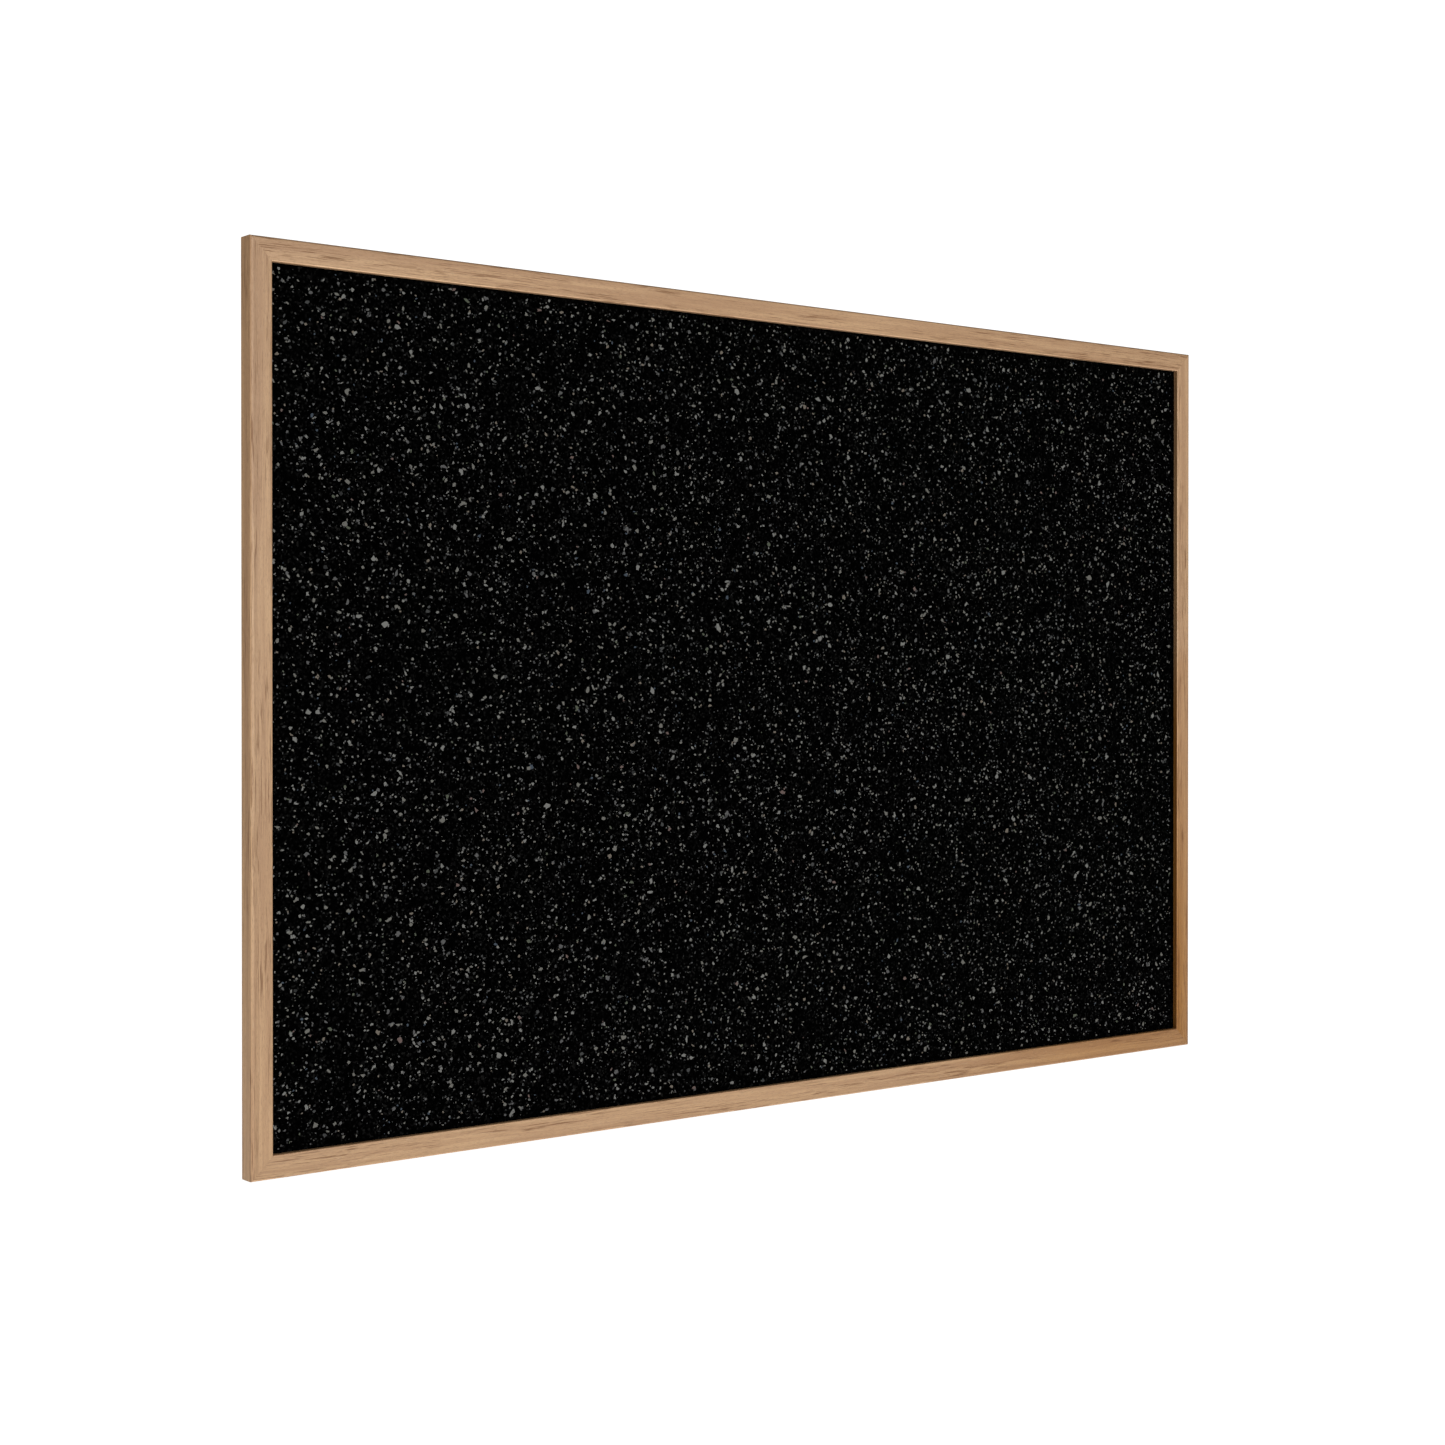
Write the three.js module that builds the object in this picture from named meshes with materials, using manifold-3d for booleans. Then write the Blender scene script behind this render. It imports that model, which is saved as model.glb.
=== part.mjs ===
// Framed bulletin board: a dark granulate tack sheet on a fibreboard core, held in a mitred oak frame.
// Millimetres, +Z up. The front faces -Y and the wall side is Y = 0. +X is to the right, seen from the front.
// The origin is on the back of the top rail, half way along it and half way across its flat back.
import * as THREE from 'three';
import { mergeVertices } from 'three/addons/utils/BufferGeometryUtils.js';
import Module from 'manifold-3d';

const wasm = await Module();
wasm.setup();

// Board and moulding
const BOARD_WIDTH = 1841.5;
const BOARD_HEIGHT = 1231.9;
const MOULDING_FACE = 31.75;
const FRAME_DEPTH = 27;
const LIP_THICKNESS = 8.2;
const REBATE_WIDTH = 9.5;
const OUTER_ARRIS_RADIUS = 3;
const INNER_ARRIS_RADIUS = 2;
const ARRIS_SEGMENTS = 3; // per eighth of a turn
const GAP = 0.3; // between pieces that touch
const WELD_DISTANCE = 1e-4; // points closer than this are one point of a solid
const BEYOND = 1; // how far a trimming shape reaches past the piece that it trims

// Panel layers, front to back
const TACK_THICKNESS = 6;
const CORE_THICKNESS = 6.35;
const BACKING_THICKNESS = 0.8;
const PANEL_CLEARANCE = 1; // all round, in the rebate

// Stops that hold the panel in, and the brads that hold the stops
const STOP_WIDTH = 9;
const STOP_THICKNESS = 3.9;
const STOP_CHAMFER = 1.4;
const BRAD_LENGTH = 18;
const BRAD_RADIUS = 0.6;
const BRAD_HEAD = { radius: 1.2, height: 0.6 };
const BRAD_POINT_HEIGHT = 2;
const BRADS_PER_LONG_STOP = 4;
const BRADS_PER_SHORT_STOP = 3;
const BRAD_SIDES = 8;

// Corner hardware
const BRACE_ARM = 76;
const BRACE_WIDTH = 16;
const BRACE_THICKNESS = 2;
const BRACE_INSET = 3; // from the outer edges of the frame
const BRACE_END_RADIUS = 4;
const BRACE_HOLES = [30, 62]; // from the frame's outer corner, along each arm
const V_NAIL = { wing: 5, thickness: 0.8, height: 10, fromCorner: 8, below: 3.5 };

// Countersunk screws
const SCREW_HEAD_RADIUS = 3.4;
const SCREW_CONE_HEIGHT = 1.7;
const SCREW_SHANK_RADIUS = 1.75;
const SCREW_TIP_HEIGHT = 3;
const BRACE_SCREW_LENGTH = 16;
const HANGER_SCREW_LENGTH = 19;
const SCREW_SIDES = 12;
const RECESS = { length: 4, width: 1, depth: 1.2 }; // each bar of the cross in the head

// Hangers
const HANGER_BELOW_TOP = 200;
const HANGER_INSET = 12.7; // from the frame's outer side to the middle of a strap, and of a bumper
const STRAP_WIDTH = 12.7;
const STRAP_LENGTH = 44;
const STRAP_THICKNESS = 1.2;
const STRAP_HOLES = [11, 34]; // below the ring's pivot
const EYE_END_ANGLE = (200 * Math.PI) / 180;
const EYE_SEGMENTS = 9;
const STRAP_END_SEGMENTS = 8;
const WIRE_RADIUS = 1.25;
const RING_HALF_WIDTH = 8.9; // to the middle of the wire
const RING_SIDE = 8; // straight side of the D, below the bar
const RING_CORNER_RADIUS = 2;
const RING_SEAM = 0.4; // butt joint in the ring's bar, inside the strap's eye
const RING_STEPS = 34; // along the wire
const WIRE_SIDES = 8;

// Rubber bumpers on the lower back corners
const BUMPER_RADIUS = 6.35;
const BUMPER_THICKNESS = 6;
const BUMPER_EDGE_RADIUS = 1.2;
const BUMPER_EDGE_STEPS = 3;
const BUMPER_ABOVE_BOTTOM = 110;
const BUMPER_SIDES = 16;

// Worked out from the driving dimensions
const LAND_WIDTH = MOULDING_FACE - REBATE_WIDTH; // flat back of the moulding
const TOP = LAND_WIDTH / 2;
const BOTTOM = TOP - BOARD_HEIGHT;
const MIDDLE_Z = (TOP + BOTTOM) / 2;
const HALF_WIDTH = BOARD_WIDTH / 2;
const LIP_BACK = LIP_THICKNESS - FRAME_DEPTH;
const TACK_FRONT = LIP_BACK + GAP;
const CORE_FRONT = TACK_FRONT + TACK_THICKNESS + GAP;
const BACKING_FRONT = CORE_FRONT + CORE_THICKNESS + GAP;
const STOP_FRONT = BACKING_FRONT + BACKING_THICKNESS + GAP;
const STOP_MIDDLE = STOP_FRONT + STOP_THICKNESS / 2;
const BRACE_BACK = -GAP; // let in flush with the flat back
const STRAP_BACK = GAP + STRAP_THICKNESS;
const EYE_INNER_RADIUS = WIRE_RADIUS + GAP;
const EYE_OUTER_RADIUS = EYE_INNER_RADIUS + STRAP_THICKNESS;
const PIVOT_Y = STRAP_BACK + EYE_INNER_RADIUS;

const board = new THREE.Group();

// ---- Finishes ----

const oak = () => new THREE.MeshStandardMaterial({ color: 0xb59373, roughness: 0.5, metalness: 0 });
const granulate = () => new THREE.MeshStandardMaterial({ color: 0x0c0c0b, roughness: 0.9, metalness: 0 });
const fibreboard = () => new THREE.MeshStandardMaterial({ color: 0x7a5a3c, roughness: 0.85, metalness: 0 });
const kraftPaper = () => new THREE.MeshStandardMaterial({ color: 0x9b7b55, roughness: 0.8, metalness: 0 });
const pine = () => new THREE.MeshStandardMaterial({ color: 0xc9a878, roughness: 0.65, metalness: 0 });
const zincSteel = () => new THREE.MeshStandardMaterial({ color: 0xb4b6b4, roughness: 0.35, metalness: 1 });
const rubber = () => new THREE.MeshStandardMaterial({ color: 0x1b1b1c, roughness: 0.85, metalness: 0 });

// ---- Solids ----

function piece(name, geometry, material) {
  const mesh = new THREE.Mesh(geometry, material);
  mesh.name = name;
  return mesh;
}

function toSolid(geometry) {
  const bare = geometry.clone();
  bare.deleteAttribute('normal');
  bare.deleteAttribute('uv');
  const merged = mergeVertices(bare, WELD_DISTANCE);
  return new wasm.Manifold(
    new wasm.Mesh({
      numProp: 3,
      vertProperties: Float32Array.from(merged.attributes.position.array),
      triVerts: Uint32Array.from(merged.index.array),
    }),
  );
}

function toGeometry(solid) {
  const { vertProperties, triVerts } = solid.getMesh();
  const geometry = new THREE.BufferGeometry();
  geometry.setAttribute('position', new THREE.BufferAttribute(Float32Array.from(vertProperties), 3));
  geometry.setIndex(new THREE.BufferAttribute(Uint32Array.from(triVerts), 1));
  geometry.computeVertexNormals();
  return geometry;
}

function cutAway(geometry, tools) {
  let solid = toSolid(geometry);
  for (const tool of tools) solid = solid.subtract(toSolid(tool));
  return toGeometry(solid);
}

// Cuts tools that are placed in the board's own frame out of a mesh that is already in its place.
function cutInPlace(mesh, tools) {
  mesh.updateWorldMatrix(true, false);
  const intoMesh = mesh.matrixWorld.clone().invert();
  const local = tools.map((tool) => {
    tool.updateWorldMatrix(true, false);
    return tool.geometry.clone().applyMatrix4(tool.matrixWorld).applyMatrix4(intoMesh);
  });
  mesh.geometry = cutAway(mesh.geometry, local);
}

// A solid of revolution about the Y axis, from [radius, height] points that run from bottom to top.
function turned(points, sides) {
  return new THREE.LatheGeometry(points.map(([r, y]) => new THREE.Vector2(r, y)), sides);
}

// Extrudes an outline drawn in X and Z along Y, from one depth to another.
function plate(outline, fromY, toY, curveSegments = ARRIS_SEGMENTS) {
  const geometry = new THREE.ExtrudeGeometry(outline, {
    depth: toY - fromY,
    bevelEnabled: false,
    curveSegments,
  });
  return geometry.rotateX(Math.PI / 2).translate(0, toY, 0);
}

// ---- Frame members ----

// Section of the moulding: x is the distance in from the outer edge, y is 0 at the back.
function mouldingSection() {
  const front = -FRAME_DEPTH;
  const section = new THREE.Shape();
  section.moveTo(0, 0);
  section.lineTo(LAND_WIDTH, 0);
  section.lineTo(LAND_WIDTH, LIP_BACK);
  section.lineTo(MOULDING_FACE, LIP_BACK);
  section.lineTo(MOULDING_FACE, front + INNER_ARRIS_RADIUS);
  section.absarc(
    MOULDING_FACE - INNER_ARRIS_RADIUS, front + INNER_ARRIS_RADIUS, INNER_ARRIS_RADIUS, 0, -Math.PI / 2, true,
  );
  section.lineTo(OUTER_ARRIS_RADIUS, front);
  section.absarc(
    OUTER_ARRIS_RADIUS, front + OUTER_ARRIS_RADIUS, OUTER_ARRIS_RADIUS, -Math.PI / 2, -Math.PI, true,
  );
  section.closePath();
  return section;
}

// A length of a section with both ends mitred at 45 degrees: every end point is drawn in by its own
// distance from the outer edge. It lies along X, with its outer edge on Z = 0.
function mitredLength(section, length, setBack) {
  const geometry = new THREE.ExtrudeGeometry(section, {
    depth: length,
    bevelEnabled: false,
    curveSegments: ARRIS_SEGMENTS,
  });
  geometry.translate(0, 0, -length / 2);
  const position = geometry.attributes.position;
  for (let i = 0; i < position.count; i += 1) {
    const z = position.getZ(i);
    position.setZ(i, z - Math.sign(z) * (position.getX(i) + setBack));
  }
  return geometry.rotateY(Math.PI / 2);
}

const MITRE_SET_BACK = (GAP / 2) * Math.SQRT2;
const SIDES = [
  { side: 'top', frame: 'top_rail', length: BOARD_WIDTH, at: [0, 0, TOP], turn: 0 },
  { side: 'right', frame: 'right_stile', length: BOARD_HEIGHT, at: [HALF_WIDTH, 0, MIDDLE_Z], turn: 1 },
  { side: 'bottom', frame: 'bottom_rail', length: BOARD_WIDTH, at: [0, 0, BOTTOM], turn: 2 },
  { side: 'left', frame: 'left_stile', length: BOARD_HEIGHT, at: [-HALF_WIDTH, 0, MIDDLE_Z], turn: 3 },
];

const members = SIDES.map(({ frame, length, at, turn }) => {
  const member = piece(frame, mitredLength(mouldingSection(), length, MITRE_SET_BACK), oak());
  member.position.set(...at);
  member.rotation.y = (turn * Math.PI) / 2;
  board.add(member);
  return member;
});

// ---- Panel ----

function panelLayer(name, front, thickness, material) {
  const inset = 2 * (LAND_WIDTH + PANEL_CLEARANCE);
  const layer = piece(
    name, new THREE.BoxGeometry(BOARD_WIDTH - inset, thickness, BOARD_HEIGHT - inset), material,
  );
  layer.position.set(0, front + thickness / 2, MIDDLE_Z);
  board.add(layer);
}

panelLayer('tack_surface', TACK_FRONT, TACK_THICKNESS, granulate());
panelLayer('core_board', CORE_FRONT, CORE_THICKNESS, fibreboard());
panelLayer('backing_sheet', BACKING_FRONT, BACKING_THICKNESS, kraftPaper());

// ---- Stops and their brads ----

// Section of a stop, its back inner edge chamfered: x is in from the rebate's wall, y is depth.
function stopSection() {
  const back = STOP_FRONT + STOP_THICKNESS;
  const section = new THREE.Shape();
  section.moveTo(0, STOP_FRONT);
  section.lineTo(STOP_WIDTH, STOP_FRONT);
  section.lineTo(STOP_WIDTH, back - STOP_CHAMFER);
  section.lineTo(STOP_WIDTH - STOP_CHAMFER, back);
  section.lineTo(0, back);
  section.closePath();
  return section;
}

// A brad points up its Y axis, with the underside of its head at the origin. With extra above 0 this
// is the hole that it sits in, that much wider all round.
function bradGeometry(extra) {
  const shank = BRAD_RADIUS + extra;
  const tip = BRAD_LENGTH + extra;
  if (extra > 0) {
    return turned([[0, -extra], [shank, -extra], [shank, tip], [0, tip]], BRAD_SIDES);
  }
  const head = BRAD_HEAD.radius;
  return turned(
    [
      [0, -BRAD_HEAD.height],
      [head, -BRAD_HEAD.height],
      [head, 0],
      [shank, 0],
      [shank, tip - BRAD_POINT_HEIGHT],
      [0, tip],
    ],
    BRAD_SIDES,
  );
}

SIDES.forEach(({ side, length, at, turn }, i) => {
  const isLong = length === BOARD_WIDTH;
  const rebateLength = length - 2 * LAND_WIDTH;
  // The two long stops run the whole rebate, and the short ones fit between them.
  const stopLength = rebateLength - 2 * GAP - (isLong ? 0 : 2 * (STOP_WIDTH + GAP));
  const run = new THREE.Group();
  run.position.set(...at);
  run.rotation.y = (turn * Math.PI) / 2;
  board.add(run);

  const bar = new THREE.ExtrudeGeometry(stopSection(), { depth: stopLength, bevelEnabled: false });
  bar.translate(0, 0, -stopLength / 2).rotateY(Math.PI / 2);
  const stop = piece(`${side}_stop`, bar, pine());
  stop.position.z = -(LAND_WIDTH + GAP);
  run.add(stop);

  const count = isLong ? BRADS_PER_LONG_STOP : BRADS_PER_SHORT_STOP;
  const holes = [];
  for (let n = 0; n < count; n += 1) {
    const along = ((n + 0.5) / count - 0.5) * stopLength;
    const brad = piece(`${side}_stop_brad_${n + 1}`, bradGeometry(0), zincSteel());
    const hole = new THREE.Mesh(bradGeometry(GAP));
    for (const placed of [brad, hole]) {
      placed.position.set(along, STOP_MIDDLE, -(LAND_WIDTH + GAP + STOP_WIDTH + GAP));
      placed.rotation.x = Math.PI / 2;
      run.add(placed);
    }
    holes.push(hole);
  }
  cutInPlace(stop, holes);
  cutInPlace(members[i], holes);
  run.remove(...holes);
});

// ---- Screws ----

// A countersunk wood screw: its head is on top, flush with Y = 0.
function screwGeometry(length) {
  const body = turned(
    [
      [0, -length],
      [SCREW_SHANK_RADIUS, SCREW_TIP_HEIGHT - length],
      [SCREW_SHANK_RADIUS, -SCREW_CONE_HEIGHT],
      [SCREW_HEAD_RADIUS, 0],
      [0, 0],
    ],
    SCREW_SIDES,
  );
  const bars = [
    new THREE.BoxGeometry(RECESS.length, 2 * RECESS.depth, RECESS.width),
    new THREE.BoxGeometry(RECESS.width, 2 * RECESS.depth, RECESS.length),
  ];
  return cutAway(body, bars);
}

// The hole that a screw of this length sits in, a gap wider all round and open above the head.
function screwHole(length) {
  const cone = SCREW_HEAD_RADIUS + GAP;
  const shank = SCREW_SHANK_RADIUS + GAP;
  const above = SCREW_CONE_HEIGHT;
  return turned(
    [
      [0, -length - GAP],
      [shank, -length - GAP],
      [shank, -SCREW_CONE_HEIGHT],
      [cone, 0],
      [cone, above],
      [0, above],
    ],
    SCREW_SIDES,
  );
}

// Adds a screw to a group with its head at a place in that group, and returns its hole's shape there.
function addScrew(group, name, length, x, y, z) {
  const screw = piece(name, screwGeometry(length), zincSteel());
  const hole = new THREE.Mesh(screwHole(length));
  for (const placed of [screw, hole]) {
    placed.position.set(x, y, z);
    group.add(placed);
  }
  return hole;
}

// ---- Corner braces and V-nails ----

// Flat L plate for the top left corner: the outer corner is the origin, the arms run along +X and -Z.
// extra widens it into the housing that is cut for it.
function braceOutline(extra) {
  const outer = BRACE_INSET - extra;
  const inner = BRACE_INSET + BRACE_WIDTH + extra;
  const end = BRACE_ARM + extra;
  const r = BRACE_END_RADIUS + extra;
  const outline = new THREE.Shape();
  outline.moveTo(outer + r, -outer);
  outline.lineTo(end - r, -outer);
  outline.absarc(end - r, -outer - r, r, Math.PI / 2, 0, true);
  outline.lineTo(end, -inner + r);
  outline.absarc(end - r, -inner + r, r, 0, -Math.PI / 2, true);
  outline.lineTo(inner, -inner);
  outline.lineTo(inner, -end + r);
  outline.absarc(inner - r, -end + r, r, 0, -Math.PI / 2, true);
  outline.lineTo(outer + r, -end);
  outline.absarc(outer + r, -end + r, r, -Math.PI / 2, -Math.PI, true);
  outline.lineTo(outer, -outer - r);
  outline.absarc(outer + r, -outer - r, r, Math.PI, Math.PI / 2, true);
  return outline;
}

// The V-nail bridges the mitre, one wing in each member. extra widens it into the slot that it cuts.
function vNail(extra, topY) {
  const near = V_NAIL.fromCorner - extra;
  const far = V_NAIL.fromCorner + V_NAIL.wing + extra;
  const wing = near + V_NAIL.thickness + 2 * extra;
  const outline = new THREE.Shape();
  outline.moveTo(near, -near);
  outline.lineTo(far, -near);
  outline.lineTo(far, -wing);
  outline.lineTo(wing, -wing);
  outline.lineTo(wing, -far);
  outline.lineTo(near, -far);
  outline.closePath();
  return plate(outline, -V_NAIL.below - V_NAIL.height - extra, topY);
}

const CORNERS = [
  { corner: 'top_left', at: [-HALF_WIDTH, 0, TOP], turn: 0, meets: [0, 3] },
  { corner: 'top_right', at: [HALF_WIDTH, 0, TOP], turn: 1, meets: [0, 1] },
  { corner: 'bottom_right', at: [HALF_WIDTH, 0, BOTTOM], turn: 2, meets: [1, 2] },
  { corner: 'bottom_left', at: [-HALF_WIDTH, 0, BOTTOM], turn: 3, meets: [2, 3] },
];

for (const { corner, at, turn, meets } of CORNERS) {
  const fitting = new THREE.Group();
  fitting.position.set(...at);
  fitting.rotation.y = (turn * Math.PI) / 2;
  board.add(fitting);

  const front = BRACE_BACK - BRACE_THICKNESS;
  const brace = piece(`${corner}_brace`, plate(braceOutline(0), front, BRACE_BACK), zincSteel());
  const housing = new THREE.Mesh(plate(braceOutline(GAP), front - GAP, BRACE_THICKNESS));
  const nail = piece(`${corner}_v_nail`, vNail(0, -V_NAIL.below), zincSteel());
  const slot = new THREE.Mesh(vNail(GAP, V_NAIL.below));
  fitting.add(brace, housing, nail, slot);

  const acrossArm = BRACE_INSET + BRACE_WIDTH / 2;
  const places = BRACE_HOLES.flatMap((along) => [[along, -acrossArm], [acrossArm, -along]]);
  const holes = places.map(([x, z], i) =>
    addScrew(fitting, `${corner}_brace_screw_${i + 1}`, BRACE_SCREW_LENGTH, x, BRACE_BACK, z),
  );
  cutInPlace(brace, holes);
  for (const m of meets) cutInPlace(members[m], [housing, slot, ...holes]);
  fitting.remove(housing, slot, ...holes);
}

// ---- Hangers ----

// Steel strap, curled at its top into an eye for the ring. The pivot is the origin's height.
function strapGeometry() {
  const section = new THREE.Shape();
  section.moveTo(-STRAP_LENGTH, GAP);
  section.lineTo(0, GAP);
  section.absarc(0, PIVOT_Y, EYE_OUTER_RADIUS, -Math.PI / 2, EYE_END_ANGLE, false);
  section.absarc(0, PIVOT_Y, EYE_INNER_RADIUS, EYE_END_ANGLE, -Math.PI / 2, true);
  section.lineTo(-STRAP_LENGTH, STRAP_BACK);
  section.closePath();
  const bent = new THREE.ExtrudeGeometry(section, {
    depth: STRAP_WIDTH,
    bevelEnabled: false,
    curveSegments: EYE_SEGMENTS,
  });
  bent.translate(0, 0, -STRAP_WIDTH / 2).rotateY(-Math.PI / 2);

  // The lower end is trimmed to a half circle.
  const radius = STRAP_WIDTH / 2;
  const side = radius + BEYOND;
  const top = EYE_OUTER_RADIUS + BEYOND;
  const trim = new THREE.Shape();
  trim.moveTo(-side, top);
  trim.lineTo(-side, radius - STRAP_LENGTH);
  trim.lineTo(-radius, radius - STRAP_LENGTH);
  trim.absarc(0, radius - STRAP_LENGTH, radius, Math.PI, 2 * Math.PI, false);
  trim.lineTo(side, radius - STRAP_LENGTH);
  trim.lineTo(side, top);
  trim.closePath();
  const keep = plate(trim, 0, PIVOT_Y + top, STRAP_END_SEGMENTS);
  return toGeometry(toSolid(bent).intersect(toSolid(keep)));
}

// The ring is one bent wire in a D, butted in the middle of its straight bar. It hangs from the pivot.
function ringGeometry() {
  const side = RING_HALF_WIDTH;
  const r = RING_CORNER_RADIUS;
  const route = new THREE.Path();
  route.moveTo(RING_SEAM / 2, 0);
  route.lineTo(side - r, 0);
  route.absarc(side - r, -r, r, Math.PI / 2, 0, true);
  route.lineTo(side, -RING_SIDE);
  route.absarc(0, -RING_SIDE, side, 0, -Math.PI, true);
  route.lineTo(-side, -r);
  route.absarc(r - side, -r, r, Math.PI, Math.PI / 2, true);
  route.lineTo(-RING_SEAM / 2, 0);
  const points = route.getSpacedPoints(RING_STEPS * 2).map((p) => new THREE.Vector3(p.x, 0, p.y));
  const section = new THREE.Shape();
  section.absarc(0, 0, WIRE_RADIUS, 0, 2 * Math.PI, false);
  return new THREE.ExtrudeGeometry(section, {
    steps: RING_STEPS,
    curveSegments: WIRE_SIDES / 2,
    extrudePath: new THREE.CatmullRomCurve3(points, false, 'centripetal'),
  });
}

// The bumpers are rounded over at their edge, and stuck to the flat back.
function bumperGeometry() {
  const r = BUMPER_RADIUS;
  const e = BUMPER_EDGE_RADIUS;
  const top = BUMPER_THICKNESS;
  const edge = [];
  for (let n = 0; n <= BUMPER_EDGE_STEPS; n += 1) {
    const angle = (n / BUMPER_EDGE_STEPS) * (Math.PI / 2);
    edge.push([r - e + e * Math.cos(angle), top - e + e * Math.sin(angle)]);
  }
  return turned([[0, 0], [r, 0], ...edge, [0, top]], BUMPER_SIDES);
}

const STILES = [
  { side: 'left', x: -HALF_WIDTH + HANGER_INSET, member: 3 },
  { side: 'right', x: HALF_WIDTH - HANGER_INSET, member: 1 },
];

for (const { side, x, member } of STILES) {
  const hanger = new THREE.Group();
  hanger.position.set(x, 0, TOP - HANGER_BELOW_TOP);
  board.add(hanger);

  const strap = piece(`${side}_hanger_strap`, strapGeometry(), zincSteel());
  const ring = piece(`${side}_hanger_ring`, ringGeometry(), zincSteel());
  ring.position.y = PIVOT_Y;
  hanger.add(strap, ring);

  const holes = STRAP_HOLES.map((below, i) => {
    const name = `${side}_hanger_screw_${i === 0 ? 'upper' : 'lower'}`;
    return addScrew(hanger, name, HANGER_SCREW_LENGTH, 0, STRAP_BACK, -below);
  });
  cutInPlace(strap, holes);
  cutInPlace(members[member], holes);
  hanger.remove(...holes);

  const bumper = piece(`${side}_bumper`, bumperGeometry(), rubber());
  bumper.position.set(x, GAP, BOTTOM + BUMPER_ABOVE_BOTTOM);
  board.add(bumper);
}

export default board;
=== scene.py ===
"""A framed bulletin board: black rubber granulate in a mitred oak frame, with its hangers behind."""

import math

import bpy
import numpy as np
from mathutils import Matrix, Vector


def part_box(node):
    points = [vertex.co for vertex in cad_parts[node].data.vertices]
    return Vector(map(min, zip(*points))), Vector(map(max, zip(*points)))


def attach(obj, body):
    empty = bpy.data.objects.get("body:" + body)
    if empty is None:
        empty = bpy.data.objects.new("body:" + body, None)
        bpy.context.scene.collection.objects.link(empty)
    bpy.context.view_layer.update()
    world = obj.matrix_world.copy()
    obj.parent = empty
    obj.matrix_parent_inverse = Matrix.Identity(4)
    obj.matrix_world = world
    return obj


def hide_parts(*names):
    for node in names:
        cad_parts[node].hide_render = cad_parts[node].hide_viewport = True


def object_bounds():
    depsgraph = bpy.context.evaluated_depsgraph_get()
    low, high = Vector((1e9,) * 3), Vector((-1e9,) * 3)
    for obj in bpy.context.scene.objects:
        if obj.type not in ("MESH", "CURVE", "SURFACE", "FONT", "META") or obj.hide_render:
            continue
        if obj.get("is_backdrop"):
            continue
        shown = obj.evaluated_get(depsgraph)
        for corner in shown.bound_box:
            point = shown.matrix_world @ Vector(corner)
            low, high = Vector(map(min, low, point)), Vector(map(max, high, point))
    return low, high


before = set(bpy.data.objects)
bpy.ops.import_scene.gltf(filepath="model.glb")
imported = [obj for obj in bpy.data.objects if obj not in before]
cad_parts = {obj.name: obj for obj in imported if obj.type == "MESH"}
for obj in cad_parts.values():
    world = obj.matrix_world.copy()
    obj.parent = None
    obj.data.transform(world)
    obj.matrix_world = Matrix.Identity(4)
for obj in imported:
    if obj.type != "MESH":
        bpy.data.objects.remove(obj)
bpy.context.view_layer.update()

# ---------------------------------------------------------------- Camera
# The board is seen from its left, a little under two board widths away, with the lens level with
# the middle of the board and turned 38 degrees off its face.

left_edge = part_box("left_stile")[0][0]
right_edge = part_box("right_stile")[1][0]
bottom_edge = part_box("bottom_rail")[0][2]
top_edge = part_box("top_rail")[1][2]
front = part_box("top_rail")[0][1]


def add_object(name, data):
    made = bpy.data.objects.new(name, data)
    bpy.context.scene.collection.objects.link(made)
    return made


lower_left_corner = Vector((left_edge, front, bottom_edge))
stand = Vector((-1.405, -2.767, 0.6589))
turn = math.radians(-38.3)
tip_down = math.radians(0.337)
camera = add_object("camera", bpy.data.cameras.new("camera"))
camera.data.lens = 58.38
camera.data.shift_y = -0.0227
camera.location = lower_left_corner + stand
camera.rotation_euler = (math.radians(90) - tip_down, 0, turn)
bpy.context.scene.camera = camera
bpy.context.scene.view_settings.view_transform = "Standard"

# ---------------------------------------------------------------- Studio
# Soft boxes in front, beside, behind and above, a white cyclorama all round, and a back-lit floor
# like a light table's top, which throws light up under the edges.

middle = Vector(((left_edge + right_edge) / 2, front, (bottom_edge + top_edge) / 2))


def add_soft_box(name, turn, rise, distance, size, watts, tint=(1, 1, 1)):
    """A square soft box aimed at the board's middle, turned to the left of its face and raised."""
    away = Vector((-math.sin(turn) * math.cos(rise), -math.cos(turn) * math.cos(rise), math.sin(rise)))
    box = add_object(name, bpy.data.lights.new(name, "AREA"))
    box.data.size = size
    box.data.energy = watts
    box.data.color = tint
    box.location = middle + away * distance
    box.rotation_euler = away.to_track_quat("Z", "Y").to_euler()


add_soft_box("key_soft_box", math.radians(3.5), math.radians(7), 6, 2.4, 230)
add_soft_box("side_soft_box", math.radians(106), math.radians(2), 3.4, 1.6, 13, (1, 0.85, 0.61))
add_soft_box("rear_soft_box", math.radians(206), math.radians(16), 4.4, 2.6, 60)
add_soft_box("top_soft_box", math.radians(180), math.radians(70), 3, 1.2, 14)


def srgb(code):
    """A colour socket's value from an sRGB hex code such as #c0a080."""
    parts = [int(code[i : i + 2], 16) / 255 for i in (1, 3, 5)]
    linear = [p / 12.92 if p <= 0.04045 else ((p + 0.055) / 1.055) ** 2.4 for p in parts]
    return (*linear, 1)


def add_node(tree, kind, inputs=None, **settings):
    """Adds a node. A socket among its inputs is linked, and any other value is set on the node."""
    made = tree.nodes.new(kind)
    for name, value in settings.items():
        setattr(made, name, value)
    for key, value in (inputs or {}).items():
        if isinstance(value, bpy.types.NodeSocket):
            tree.links.new(value, made.inputs[key])
        else:
            made.inputs[key].default_value = value
    return made


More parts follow.
